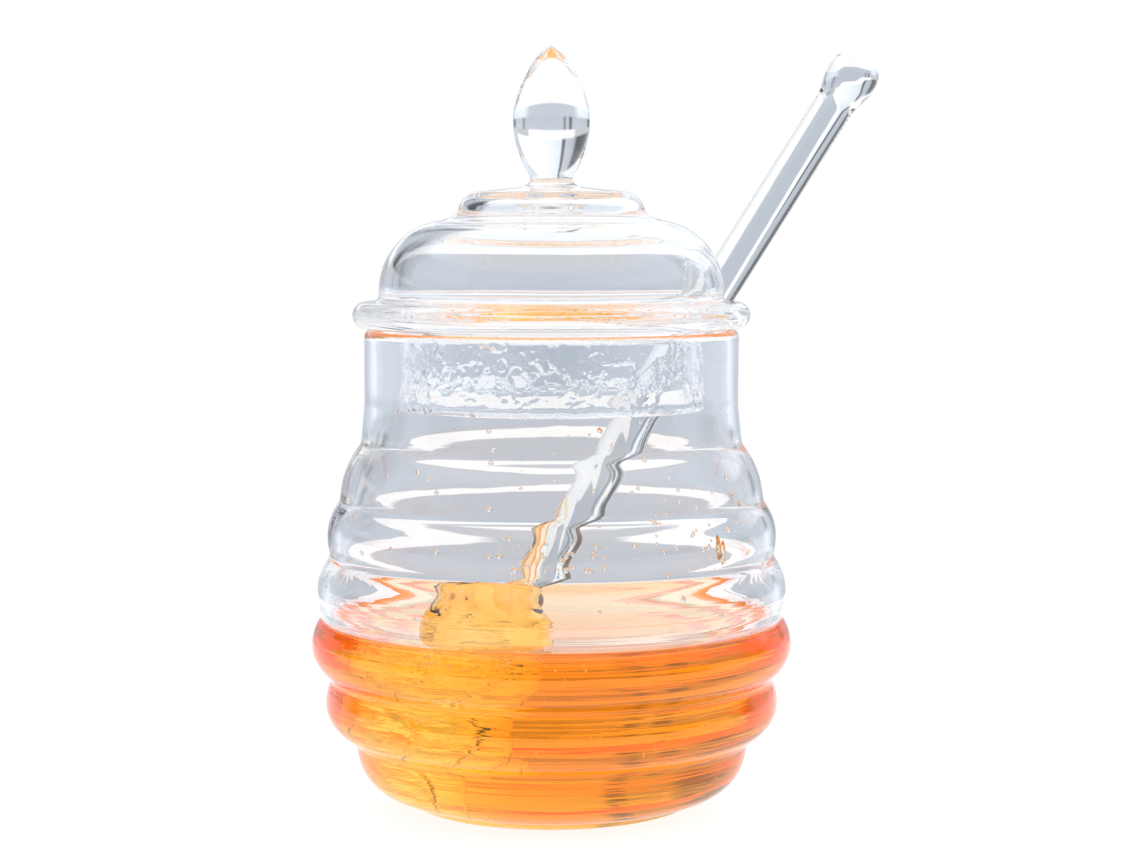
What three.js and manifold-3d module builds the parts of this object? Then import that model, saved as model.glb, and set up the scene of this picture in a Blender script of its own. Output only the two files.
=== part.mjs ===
// A glass honey pot: a ribbed beehive jar partly filled with honey, a domed lid with a pointed knob
// and a collar that hangs inside the neck, and a solid glass dipper that leans out through the
// lid's notch. Millimetres, +Z up. The origin is the centre of the jar's foot, on the table.

import * as THREE from 'three';
import * as BufferGeometryUtils from 'three/addons/utils/BufferGeometryUtils.js';
import Module from 'manifold-3d';

const wasm = await Module();
wasm.setup();

// Driving dimensions of the jar
const WALL = 2.1;
const FLOOR = 3.2;
const FOOT_FLAT_RADIUS = 24.4;
const FOOT_ROUND_RADIUS = 26.8;
const FOOT_ROUND_HEIGHT = 0.6;
const NECK_RADIUS = 35.2;
const NECK_START = 76.0;
const RIM_START = 87.0;
const RIM_HEIGHT = 90.0;

// Grooves between the ribs, from the foot up, and how far the rib above each one stands proud
// of the straight line to the next groove
const GROOVES = [
  { radius: 27.4, height: 1.6, bulge: 3.1 },
  { radius: 37.3, height: 12.6, bulge: 3.2 },
  { radius: 41.7, height: 24.5, bulge: 2.8 },
  { radius: 43.5, height: 36.2, bulge: 1.6 },
  { radius: 41.7, height: 47.6, bulge: 1.4 },
  { radius: 39.9, height: 57.9, bulge: 1.0 },
  { radius: 35.9, height: 68.6, bulge: 0 },
];

// Driving dimensions of the honey
const HONEY_LEVEL = 34.3;
const GAP = 0.3;

// Driving dimensions of the lid
const FLANGE_UNDERSIDE = RIM_HEIGHT + GAP;
const BEAD_RADIUS = 2.5;
const BEAD_CENTRE_RADIUS = 34.9;
const LID_WALL = 2.2;
const DOME_FOOT_HEIGHT = 97.2;
const DOME_CENTRE_RADIUS = 19.0;
const DOME_ARC_RADIUS = 13.4;
const CROWN_HEIGHT = 116.8;
const CROWN_CENTRE_RADIUS = 13.2;
const CROWN_CENTRE_HEIGHT = 111.6;
const CROWN_ARC_RADIUS = 4.4;
const SKIRT_RADIUS = 28.7;
const SKIRT_END = 75.1;
const KNOB_STEM_RADIUS = 3.9;
const KNOB_STEM_TOP = 118.6;
const KNOB_RADIUS = 7.2;
const KNOB_WIDEST = 129.2;
const KNOB_TIP = 143.4;
const PLUG_RADIUS = 5.6;
const PLUG_DEPTH = 1.3;

// Driving dimensions of the notch in the lid's edge, which the dipper's rod passes through
const NOTCH_AZIMUTH = THREE.MathUtils.degToRad(18);
const NOTCH_HALF_WIDTH = 7.0;
const NOTCH_TOP = 104.0;
const NOTCH_INNER_RADIUS = 20.0;
const NOTCH_DEPTH = 25.0;

// Driving dimensions of the dipper, measured along its own axis from the end of its head
const DIPPER_LEAN = THREE.MathUtils.degToRad(34.1);
const DIPPER_FOOT_REACH = -27.7;
const DIPPER_FOOT_HEIGHT = 6.7;
const DIPPER_LENGTH = 163.0;
const ROD_RADIUS = 3.8;
const RING_PITCH = 5.2;
const RING_RADII = [8.9, 11.6, 13.0, 13.4, 12.8, 11.4];
const RING_GROOVE = 2.3;
const SHOULDER_LENGTH = 5.0;
const TIP_RADIUS = 5.0;
const TIP_LENGTH = 10.0;

// Facets round each turned piece and along each curve of its outline
const JAR_SEGMENTS = 36;
const LID_SEGMENTS = 32;
const DIPPER_SEGMENTS = 20;
const STEPS_PER_RIB = 5;
const STEPS_PER_RING = 5;

const point = (radius, height) => new THREE.Vector2(radius, height);

// Points on a circular arc in the outline's plane, both ends included. Angles are in degrees,
// from the outward direction towards up.
function arc(centreRadius, centreHeight, radius, fromDegrees, toDegrees, steps) {
  return Array.from({ length: steps + 1 }, (_, i) => {
    const angle = THREE.MathUtils.degToRad(THREE.MathUtils.lerp(fromDegrees, toDegrees, i / steps));
    return point(centreRadius + radius * Math.cos(angle), centreHeight + radius * Math.sin(angle));
  });
}

// One rib of the jar: a parabola over the straight line from one groove to the next, standing
// proud of it by the lower groove's bulge. The upper groove itself is left to the next rib.
function rib(lower, upper) {
  const start = point(lower.radius, lower.height);
  const chord = point(upper.radius, upper.height).sub(start);
  const outward = point(chord.y, -chord.x).normalize();
  return Array.from({ length: STEPS_PER_RIB }, (_, i) => {
    const t = i / STEPS_PER_RIB;
    return start.clone().addScaledVector(chord, t).addScaledVector(outward, 4 * lower.bulge * t * (1 - t));
  });
}

// The outline moved sideways by a distance, each point along the mean normal of its two sides.
// A positive distance moves an outline that climbs outwards from the axis.
function offset(outline, distance) {
  return outline.map((here, i) => {
    const before = outline[Math.max(i - 1, 0)];
    const after = outline[Math.min(i + 1, outline.length - 1)];
    const along = after.clone().sub(before).normalize();
    return here.clone().addScaledVector(point(along.y, -along.x), distance);
  });
}

// The part of an outline between two heights, with its own end points put at those heights
function between(outline, low, high) {
  const at = (height) => {
    const i = outline.findIndex((p, k) => k > 0 && outline[k - 1].y <= height && p.y >= height);
    const [a, b] = [outline[i - 1], outline[i]];
    return point(THREE.MathUtils.mapLinear(height, a.y, b.y, a.x, b.x), height);
  };
  return [at(low), ...outline.filter((p) => p.y > low + GAP && p.y < high - GAP), at(high)];
}

// A closed outline, turned round the vertical axis. The outline runs up the outside.
function turned(outline, segments) {
  const lathe = new THREE.LatheGeometry(outline, segments);
  lathe.deleteAttribute('normal');
  lathe.deleteAttribute('uv');
  const merged = BufferGeometryUtils.mergeVertices(lathe, 1e-4);
  const index = Array.from(merged.index.array);
  const kept = [];
  for (let i = 0; i < index.length; i += 3) {
    const [a, b, c] = index.slice(i, i + 3);
    if (a !== b && b !== c && c !== a) kept.push(a, b, c);
  }
  merged.setIndex(kept);
  merged.rotateX(Math.PI / 2);
  return merged;
}

// A closed geometry as a solid that can be cut
function toSolid(geometry) {
  return new wasm.Manifold(new wasm.Mesh({
    numProp: 3,
    vertProperties: new Float32Array(geometry.attributes.position.array),
    triVerts: new Uint32Array(geometry.index.array),
  }));
}

// A cut solid as a geometry again
function toGeometry(solid) {
  const cut = solid.getMesh();
  const geometry = new THREE.BufferGeometry();
  geometry.setAttribute('position', new THREE.BufferAttribute(new Float32Array(cut.vertProperties), 3));
  geometry.setIndex(Array.from(cut.triVerts));
  return geometry;
}

// The jar's outer wall from the foot's kink to the foot of the rim
function jarWall() {
  const ribs = GROOVES.slice(0, -1).flatMap((groove, i) => rib(groove, GROOVES[i + 1]));
  const top = GROOVES[GROOVES.length - 1];
  return [...ribs, point(top.radius, top.height), point(NECK_RADIUS, NECK_START), point(NECK_RADIUS, RIM_START)];
}

function makeJar() {
  const wall = jarWall();
  const rimRadius = WALL / 2;
  const rim = arc(NECK_RADIUS - WALL / 2, RIM_HEIGHT - rimRadius, rimRadius, 0, 180, 6);
  const inner = offset(wall, -WALL).filter((p) => p.y > FLOOR + 0.8).reverse();
  const outline = [
    point(0, 0),
    point(FOOT_FLAT_RADIUS, 0),
    point(FOOT_ROUND_RADIUS, FOOT_ROUND_HEIGHT),
    ...wall,
    ...rim,
    ...inner,
    point(FOOT_FLAT_RADIUS, FLOOR),
    point(0, FLOOR),
  ];
  return turned(outline, JAR_SEGMENTS);
}

// The dipper's outline along its own axis, from the end of the head up
function dipperOutline() {
  const headLength = RING_RADII.length * RING_PITCH;
  const rings = RING_RADII.flatMap((radius, ring) => {
    const below = ring === 0 ? radius : RING_RADII[ring - 1];
    const above = RING_RADII[ring + 1] ?? radius;
    return Array.from({ length: STEPS_PER_RING }, (_, i) => {
      const t = (i + 0.5) / STEPS_PER_RING;
      const envelope = t < 0.5
        ? THREE.MathUtils.lerp((below + radius) / 2, radius, 2 * t)
        : THREE.MathUtils.lerp(radius, (radius + above) / 2, 2 * t - 1);
      const height = (ring + t) * RING_PITCH;
      const roundEnd = ring === 0 && t < 0.5 ? 1.5 * (1 - 2 * t) : 0;
      return point(envelope - RING_GROOVE * (1 - Math.sin(Math.PI * t)) - roundEnd, height);
    });
  });
  const shoulderRadius = RING_RADII[RING_RADII.length - 1] - RING_GROOVE;
  const shoulder = [0.2, 0.5, 1].map((t) => {
    const radius = ROD_RADIUS + (shoulderRadius - ROD_RADIUS) * (1 - t) ** 2;
    return point(radius, headLength + SHOULDER_LENGTH * t);
  });
  const tipStart = DIPPER_LENGTH - TIP_LENGTH;
  const tip = [
    point(ROD_RADIUS, tipStart),
    point(TIP_RADIUS - 0.2, tipStart + 0.35 * TIP_LENGTH),
    point(TIP_RADIUS, tipStart + 0.6 * TIP_LENGTH),
    point(TIP_RADIUS - 0.3, tipStart + 0.82 * TIP_LENGTH),
    point(TIP_RADIUS - 1.4, tipStart + 0.95 * TIP_LENGTH),
    point(TIP_RADIUS - 3.0, DIPPER_LENGTH),
  ];
  return [point(5.4, 0), ...rings, ...shoulder, ...tip];
}

// The dipper, or the room that it needs, leaning towards the notch with its head on the floor
function placedDipper(outline) {
  const last = outline[outline.length - 1];
  const closed = [point(0, outline[0].y), ...outline, point(0, last.y)];
  const geometry = turned(closed, DIPPER_SEGMENTS);
  geometry.rotateY(DIPPER_LEAN);
  geometry.translate(DIPPER_FOOT_REACH, 0, DIPPER_FOOT_HEIGHT);
  geometry.rotateZ(NOTCH_AZIMUTH);
  return geometry;
}

function makeHoney() {
  const inside = between(offset(jarWall(), -(WALL + GAP)), FLOOR + 1.2, HONEY_LEVEL);
  const outline = [
    point(0, FLOOR + GAP),
    point(FOOT_FLAT_RADIUS, FLOOR + GAP),
    ...inside,
    point(0, HONEY_LEVEL),
  ];
  const body = toSolid(turned(outline, JAR_SEGMENTS));
  const grown = offset(dipperOutline(), GAP);
  grown[0].y -= GAP;
  return toGeometry(body.subtract(toSolid(placedDipper(grown))));
}

// The lid's outline: up the outside of the collar, out round the flange's bead, over the two
// domes to the knob, and back down under the domes
function lidOutline() {
  const beadHeight = FLANGE_UNDERSIDE + BEAD_RADIUS;
  const innerSkirt = SKIRT_RADIUS - LID_WALL;
  const endRadius = LID_WALL / 2;
  const domeEdge = DOME_CENTRE_RADIUS + DOME_ARC_RADIUS;
  const innerArc = DOME_ARC_RADIUS - LID_WALL;
  const collarEnd = arc(SKIRT_RADIUS - endRadius, SKIRT_END + endRadius, endRadius, -180, 0, 4);
  const bead = arc(BEAD_CENTRE_RADIUS, beadHeight, BEAD_RADIUS, -90, 120, 7);
  const dome = arc(DOME_CENTRE_RADIUS, DOME_FOOT_HEIGHT, DOME_ARC_RADIUS, 0, 84, 6);
  const crown = arc(CROWN_CENTRE_RADIUS, CROWN_CENTRE_HEIGHT, CROWN_ARC_RADIUS, 0, 70, 4);
  const knobBelow = [0.25, 0.5, 0.75, 1].map((t) => {
    const height = THREE.MathUtils.lerp(KNOB_STEM_TOP, KNOB_WIDEST, t);
    return point(THREE.MathUtils.lerp(KNOB_STEM_RADIUS, KNOB_RADIUS, Math.sin(t * Math.PI / 2) ** 0.8), height);
  });
  const knobAbove = [0.25, 0.5, 0.7, 0.85, 0.95, 1].map((t) => {
    const height = THREE.MathUtils.lerp(KNOB_WIDEST, KNOB_TIP, t);
    return point(KNOB_RADIUS * (1 - t ** 1.65) ** 0.75, height);
  });
  const underCrown = arc(CROWN_CENTRE_RADIUS, CROWN_CENTRE_HEIGHT, CROWN_ARC_RADIUS - LID_WALL, 75, 0, 3);
  const underDome = arc(DOME_CENTRE_RADIUS, DOME_FOOT_HEIGHT, innerArc, 80, 0, 6);
  return [
    ...collarEnd,
    point(SKIRT_RADIUS, FLANGE_UNDERSIDE - 1.2),
    point(SKIRT_RADIUS + 1.2, FLANGE_UNDERSIDE),
    ...bead,
    point(domeEdge, DOME_FOOT_HEIGHT - 1.4),
    ...dome,
    ...crown,
    point(KNOB_STEM_RADIUS + 1.6, CROWN_HEIGHT - 0.1),
    point(KNOB_STEM_RADIUS, CROWN_HEIGHT + 0.9),
    point(KNOB_STEM_RADIUS, KNOB_STEM_TOP),
    ...knobBelow,
    ...knobAbove,
    point(0, CROWN_HEIGHT - LID_WALL - PLUG_DEPTH),
    point(PLUG_RADIUS * 0.7, CROWN_HEIGHT - LID_WALL - 0.8 * PLUG_DEPTH),
    point(PLUG_RADIUS, CROWN_HEIGHT - LID_WALL - 0.2),
    ...underCrown,
    ...underDome,
    point(SKIRT_RADIUS, DOME_FOOT_HEIGHT - 3.4),
    point(innerSkirt, DOME_FOOT_HEIGHT - 6.2),
    collarEnd[0].clone(),
  ];
}

// A tall slot with a round top, running outwards along the notch's azimuth
function notchCutter() {
  const outline = new THREE.Shape();
  const archHeight = NOTCH_TOP - NOTCH_HALF_WIDTH;
  outline.moveTo(-NOTCH_HALF_WIDTH, SKIRT_END - 2);
  outline.lineTo(NOTCH_HALF_WIDTH, SKIRT_END - 2);
  outline.lineTo(NOTCH_HALF_WIDTH, archHeight);
  outline.absarc(0, archHeight, NOTCH_HALF_WIDTH, 0, Math.PI, false);
  outline.closePath();
  const slot = new THREE.ExtrudeGeometry(outline, { depth: NOTCH_DEPTH, bevelEnabled: false, curveSegments: 10 });
  slot.deleteAttribute('normal');
  slot.deleteAttribute('uv');
  const merged = BufferGeometryUtils.mergeVertices(slot, 1e-4);
  merged.rotateX(Math.PI / 2);
  merged.rotateZ(Math.PI / 2);
  merged.translate(NOTCH_INNER_RADIUS, 0, 0);
  merged.rotateZ(NOTCH_AZIMUTH);
  return merged;
}

function makeLid() {
  const whole = toSolid(turned(lidOutline(), LID_SEGMENTS));
  return toGeometry(whole.subtract(toSolid(notchCutter())));
}

const glass = (color) => new THREE.MeshStandardMaterial({
  color, roughness: 0.05, metalness: 0, transparent: true, opacity: 0.35, flatShading: true,
});
const amber = new THREE.MeshStandardMaterial({
  color: 0xf59a2b, roughness: 0.15, metalness: 0, transparent: true, opacity: 0.85, flatShading: true,
});

function named(name, geometry, material) {
  const mesh = new THREE.Mesh(geometry, material);
  mesh.name = name;
  return mesh;
}

const honeyPot = new THREE.Group();
honeyPot.add(
  named('jar', makeJar(), glass(0xe6edf4)),
  named('honey', makeHoney(), amber),
  named('lid', makeLid(), glass(0xe9eff5)),
  named('dipper', placedDipper(dipperOutline()), glass(0xdfe7ef)),
);

export default honeyPot;
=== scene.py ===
"""A glass honey pot with its lid, honey and dipper, dressed for a soft studio picture.

Every piece is a surface worked out from named sizes: an outline of radii and heights, carried
round an axis. Lengths are millimetres until a surface becomes a mesh, which is in metres.
"""

from __future__ import annotations

import logging
from collections.abc import Mapping, Sequence
from dataclasses import dataclass
from enum import Enum

import bmesh
import bpy
import numpy as np
from numpy.typing import NDArray
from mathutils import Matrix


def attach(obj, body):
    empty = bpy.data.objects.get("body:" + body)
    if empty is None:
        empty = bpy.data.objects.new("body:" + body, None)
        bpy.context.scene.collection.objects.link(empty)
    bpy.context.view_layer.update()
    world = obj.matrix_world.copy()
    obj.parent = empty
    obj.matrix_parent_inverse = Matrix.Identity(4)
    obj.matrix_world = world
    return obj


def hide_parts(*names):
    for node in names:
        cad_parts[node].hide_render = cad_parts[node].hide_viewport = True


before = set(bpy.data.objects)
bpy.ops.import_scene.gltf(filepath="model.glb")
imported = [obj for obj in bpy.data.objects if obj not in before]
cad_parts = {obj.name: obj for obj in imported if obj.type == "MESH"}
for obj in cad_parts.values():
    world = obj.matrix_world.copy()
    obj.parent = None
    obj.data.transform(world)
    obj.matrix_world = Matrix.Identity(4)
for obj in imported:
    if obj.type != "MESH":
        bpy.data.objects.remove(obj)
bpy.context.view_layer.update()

LOG = logging.getLogger("honey_pot")
METRES = 0.001
MILLIMETRES = 1000.0
BODY = "root"
HONEY_INDEX = 1.48
HONEY_CREASE = 40.0

# The length over which a wobble fades to nothing, and the welding distance in metres
CALM = 6.0
WELD = 2e-6

Array = NDArray[np.float64]
Numbers = NDArray[np.int64]
Colour = tuple[float, float, float]


class End(Enum):
    """How an outline goes on past its end while it is softened."""

    AXIS = "mirrored in the turning axis"
    FREE = "straight on"


def arc(centre: tuple[float, float], radius: float, start: float, stop: float, steps: int) -> Array:
    """Points on a circular arc in equal steps, its angles in degrees from outwards towards up."""
    angle = np.radians(np.linspace(start, stop, steps + 1))
    return np.column_stack([centre[0] + radius * np.cos(angle), centre[1] + radius * np.sin(angle)])


def arc_length(outline: Array) -> Array:
    """The distance along the outline from its start to each of its points."""
    return np.concatenate([[0.0], np.cumsum(np.linalg.norm(np.diff(outline, axis=0), axis=1))])


def evenly(outline: Array, count: int) -> Array:
    """An outline read off at a count of equal steps along it."""
    along = arc_length(outline)
    at = np.linspace(0.0, along[-1], count + 1)
    return np.column_stack([np.interp(at, along, outline[:, axis]) for axis in (0, 1)])


def resampled(outline: Array, spacing: float) -> Array:
    """An outline read off at equal steps of about the spacing."""
    return evenly(outline, max(int(round(arc_length(outline)[-1] / spacing)), 2))


def softened(
    outline: Array, reach: float, ends: tuple[End, End] = (End.AXIS, End.AXIS), spacing: float = 0.1
) -> Array:
    """The outline with its corners melted round.

    Each point becomes the mean of its neighbours along the outline, weighted by the Gaussian bell
    exp(-(distance / reach) squared / 2).

    Args:
        outline: Points as rows of radius and height.
        reach: Width of the bell in millimetres.
        ends: How the outline goes on past its first and its last point.
        spacing: Step of the points that are returned.

    Returns:
        The softened outline at equal steps.
    """
    fine = resampled(outline, spacing)
    count = int(3.0 * reach / spacing)
    bell = np.exp(-0.5 * (np.arange(-count, count + 1) * spacing / reach) ** 2)
    mirror = np.array([-1.0, 1.0])
    head, tail = fine[count:0:-1], fine[-2 : -count - 2 : -1]
    before = head * mirror if ends[0] is End.AXIS else 2.0 * fine[0] - head
    after = tail * mirror if ends[1] is End.AXIS else 2.0 * fine[-1] - tail
    padded = np.vstack([before, fine, after])
    return np.column_stack([np.convolve(padded[:, axis], bell / bell.sum(), "valid") for axis in (0, 1)])


def offset(outline: Array, distance: float | Array) -> Array:
    """The outline moved along its normal, which is its direction turned a quarter clockwise.

    Args:
        outline: Points as rows of radius and height.
        distance: How far each point moves, outwards on an outline that climbs.

    Returns:
        The moved outline.
    """
    along = np.gradient(outline, axis=0)
    along /= np.linalg.norm(along, axis=1, keepdims=True)
    normal = np.column_stack([along[:, 1], -along[:, 0]])
    return outline + normal * np.reshape(distance, (-1, 1))


@dataclass(frozen=True)
class Wobble:
    """The slow unevenness of hand-worked glass: a sum of waves round the axis and up it.

    The offset at an angle and a height is the sum over the waves of
    strength * sin(turns * angle + rate * height + phase), with seeded rates and phases.
    """

    seed: int
    strength: float
    turns: tuple[int, ...] = (1, 2, 3, 5, 7)
    rate: float = 0.16

    def at(self, angle: Array, height: Array) -> Array:
        """The radial offset in millimetres.

        Args:
            angle: Angles round the axis in radians.
            height: Heights, of a shape that broadcasts with the angles.

        Returns:
            The offsets.
        """
        draw = np.random.default_rng(self.seed)
        total = np.zeros(np.broadcast(angle, height).shape)
        for turns in self.turns:
            rate = draw.uniform(-self.rate, self.rate)
            phase = draw.uniform(0.0, 2.0 * np.pi)
            total = total + np.sin(turns * angle + rate * height + phase) / turns**0.5
        return self.strength * total / len(self.turns) ** 0.5


@dataclass
class Surface:
    """Points and four-sided faces, in millimetres, before they become a mesh."""

    points: Array
    faces: Numbers
    finish: Numbers | None = None

    @classmethod
    def grid(cls, x: Array, y: Array, z: Array) -> Surface:
        """A surface over a grid: faces join each point to its neighbours along rows and columns.

        Args:
            x: First coordinates, one row for each outline point and one column for each angle.
            y: Second coordinates.
            z: Third coordinates.

        Returns:
            The open grid as a surface.
        """
        rows, columns = x.shape
        number = np.arange(rows * columns).reshape(rows, columns)
        corners = [number[:-1, :-1], number[:-1, 1:], number[1:, 1:], number[1:, :-1]]
        faces = np.stack([corner.ravel() for corner in corners], axis=1)
        return cls(np.column_stack([x.ravel(), y.ravel(), z.ravel()]), faces)

    @classmethod
    def turned(cls, outline: Array, segments: int, wobble: Array | float = 0.0) -> Surface:
        """An outline carried once round the vertical axis.

        Args:
            outline: Points as rows of radius and height, with its ends on the axis.
            segments: Number of steps round.
            wobble: Radial offsets, one for each outline point and angle, faded out at the axis.

        Returns:
            The closed surface, with its seam and poles still unmerged.
        """
        radius = outline[:, :1] + calmed(outline[:, :1]) * wobble
        return cls.polar(radius, turn_angles(segments), outline[:, 1:])

    @classmethod
    def polar(cls, radius: Array, angle: Array, height: Array) -> Surface:
        """A surface over a grid of radii, angles and heights: x = r cos a, y = r sin a, z = height."""
        radius, angle, height = np.broadcast_arrays(radius, angle, height)
        return cls.grid(radius * np.cos(angle), radius * np.sin(angle), height)

    @classmethod
    def joined(cls, parts: Sequence[Surface]) -> Surface:
        """Several surfaces as one."""
        starts = np.cumsum([0, *(len(part.points) for part in parts[:-1])])
        faces = [part.faces + start for part, start in zip(parts, starts)]
        return cls(np.vstack([part.points for part in parts]), np.vstack(faces))

    def moved(self, turn: Array, shift: Array) -> Surface:
        """The surface turned by a 3 by 3 matrix and then shifted."""
        return Surface(self.points @ turn.T + shift, self.faces, self.finish)

    def middles(self) -> Array:
        """The mean of each face's corners."""
        return self.points[self.faces].mean(axis=1)

    def piece(self, name: str) -> bpy.types.Object:
        """The surface as a smooth closed mesh object at the origin, in metres.

        Args:
            name: The object's name.

        Returns:
            The new object, with its faces pointing outwards.
        """
        mesh = bpy.data.meshes.new(name)
        mesh.from_pydata((self.points * METRES).tolist(), [], self.faces.tolist())
        if self.finish is not None:
            mesh.polygons.foreach_set("material_index", self.finish.astype(np.int32))
        work = bmesh.new()
        work.from_mesh(mesh)
        bmesh.ops.remove_doubles(work, verts=work.verts, dist=WELD)
        if work.calc_volume(signed=True) < 0.0:
            bmesh.ops.reverse_faces(work, faces=work.faces)
        for face in work.faces:
            face.smooth = True
        work.to_mesh(mesh)
        work.free()
        thing = bpy.data.objects.new(name, mesh)
        bpy.context.scene.collection.objects.link(thing)
        return thing


def calmed(distance: Array) -> Array:
    """The share of a wobble that is left at a distance from where it has to be nothing."""
    return np.clip(distance / CALM, 0.0, 1.0)


def turn_angles(segments: int) -> Array:
    """The angles of a full turn as one row, with the first repeated at the end."""
    return np.linspace(0.0, 2.0 * np.pi, segments + 1)[None, :]


def rotation(degrees: float, first: int, second: int) -> Array:
    """The 3 by 3 matrix of a turn that carries the first axis towards the second."""
    angle = np.radians(degrees)
    turn = np.eye(3)
    turn[[first, second], [first, second]] = np.cos(angle)
    turn[second, first] = np.sin(angle)
    turn[first, second] = -np.sin(angle)
    return turn


def swung(out: Array, side: Array, azimuth: float) -> tuple[Array, Array]:
    """The x and y of places a distance out from the axis and another aside, at an azimuth."""
    cos, sin = np.cos(azimuth), np.sin(azimuth)
    return out * cos - side * sin, out * sin + side * cos


class Wire:
    """An output of a shader node, with arithmetic that adds Math nodes."""

    def __init__(self, graph: ShaderGraph, socket: bpy.types.NodeSocket) -> None:
        """Wraps one output socket of a graph's node."""
        self.graph = graph
        self.socket = socket

    def _math(self, operation: str, first: Wire | float, second: Wire | float) -> Wire:
        """One Math node of the given operation."""
        return self.graph.node("ShaderNodeMath", {"operation": operation}, {0: first, 1: second})

    def __add__(self, other: Wire | float) -> Wire:
        """The sum."""
        return self._math("ADD", self, other)

    def __mul__(self, other: Wire | float) -> Wire:
        """The product."""
        return self._math("MULTIPLY", self, other)

    def __sub__(self, other: Wire | float) -> Wire:
        """The difference."""
        return self._math("SUBTRACT", self, other)

    def __rsub__(self, other: Wire | float) -> Wire:
        """The difference, the other way round."""
        return self._math("SUBTRACT", other, self)

    def clipped(self) -> Wire:
        """The value held between 0 and 1."""
        return self.graph.node("ShaderNodeClamp", {}, {"Value": self})

    def ridges(self, sharpness: float) -> Wire:
        """Thin lines where a noise passes a half: 1 - sharpness * |2 * noise - 1|, if above 0."""
        away = self.graph.node("ShaderNodeMath", {"operation": "ABSOLUTE"}, {0: self * 2.0 - 1.0})
        return (1.0 - away * sharpness).clipped()


class ShaderGraph:
    """A node tree that is filled node by node."""

    def __init__(self, tree: bpy.types.NodeTree) -> None:
        """Empties the tree."""
        self.tree = tree
        self.tree.nodes.clear()

    @classmethod
    def for_material(cls, name: str) -> tuple[ShaderGraph, bpy.types.Material]:
        """A new material and its empty graph."""
        material = bpy.data.materials.new(name)
        material.use_nodes = True
        return cls(material.node_tree), material

    def node(
        self,
        kind: str,
        settings: Mapping[str, object] | None = None,
        inputs: Mapping[str | int, object] | None = None,
        output: str | int = 0,
    ) -> Wire:
        """Adds one node.

        Args:
            kind: The node's type name.
            settings: Attributes, set before the inputs. "stops" gives a ramp's places and colours.
            inputs: Values or wires for the input sockets, by name or number.
            output: The output that is returned.

        Returns:
            The chosen output.
        """
        made = self.tree.nodes.new(kind)
        for key, value in (settings or {}).items():
            if key == "stops":
                self._set_stops(made.color_ramp, value)
            else:
                setattr(made, key, value)
        for key, value in (inputs or {}).items():
            if isinstance(value, Wire):
                self.tree.links.new(value.socket, made.inputs[key])
            else:
                made.inputs[key].default_value = value
        return Wire(self, made.outputs[output]) if made.outputs else Wire(self, None)

    @staticmethod
    def _set_stops(ramp: bpy.types.ColorRamp, stops: Sequence[tuple[float, Colour]]) -> None:
        """Puts the stops on a ramp, which starts with two."""
        while len(ramp.elements) < len(stops):
            ramp.elements.new(0.5)
        for element, (place, colour) in zip(ramp.elements, stops):
            element.position = place
            element.color = (*colour, 1.0)

    def blend(self, factor: Wire | float, low: Wire | Colour, high: Wire | Colour) -> Wire:
        """A colour from the low one, at a factor of 0, to the high one, at 1."""
        ends = [colour if isinstance(colour, Wire) else (*colour, 1.0) for colour in (low, high)]
        mix = {"data_type": "RGBA"}
        return self.node("ShaderNodeMix", mix, {"Factor": factor, 6: ends[0], 7: ends[1]}, output=2)

    def noise(self, scale: float, detail: float, stretch: Colour = (1.0, 1.0, 1.0)) -> Wire:
        """Cloudy noise from 0 to 1 over the piece's own coordinates.

        Args:
            scale: Blobs to the metre.
            detail: Number of finer layers.
            stretch: Factors on the three coordinates.

        Returns:
            The noise value.
        """
        place = self.node("ShaderNodeTexCoord", output="Object")
        mapped = self.node("ShaderNodeMapping", {}, {"Vector": place, "Scale": stretch})
        inputs = {"Vector": mapped, "Scale": scale, "Detail": detail}
        return self.node("ShaderNodeTexNoise", {}, inputs, output="Fac")

    def place(self, axis: str) -> Wire:
        """One of the piece's own coordinates, X, Y or Z, in millimetres."""
        whole = self.node("ShaderNodeTexCoord", output="Object")
        return self.node("ShaderNodeSeparateXYZ", {}, {"Vector": whole}, output=axis) * MILLIMETRES

    def bump(self, height: Wire, strength: float, distance: float) -> Wire:
        """The normal over a relief, with its strength and its height in metres."""
        return self.node("ShaderNodeBump", {}, {"Height": height, "Strength": strength, "Distance": distance})

    def principled(self, inputs: Mapping[str | int, object]) -> Wire:
        """A Principled surface."""
        return self.node("ShaderNodeBsdfPrincipled", {}, inputs)

    def close(self, surface: Wire, **volume: Wire) -> None:
        """Joins a surface, and a Volume if there is one, to the material's output."""
        self.node("ShaderNodeOutputMaterial", {}, {"Surface": surface, **volume})


def grey(level: float) -> tuple[float, ...]:
    """A grey of one level, as a socket takes it."""
    return (level, level, level, 1.0)


@dataclass(frozen=True)
class Finish:
    """A named finish. Each kind of finish has its own shader."""

    name: str

    def shade(self, graph: ShaderGraph) -> None:
        """Fills the graph with the finish's nodes."""
        raise NotImplementedError

    def material(self) -> bpy.types.Material:
        """The finish as a new material."""
        graph, material = ShaderGraph.for_material(self.name)
        self.shade(graph)
        return material


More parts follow.
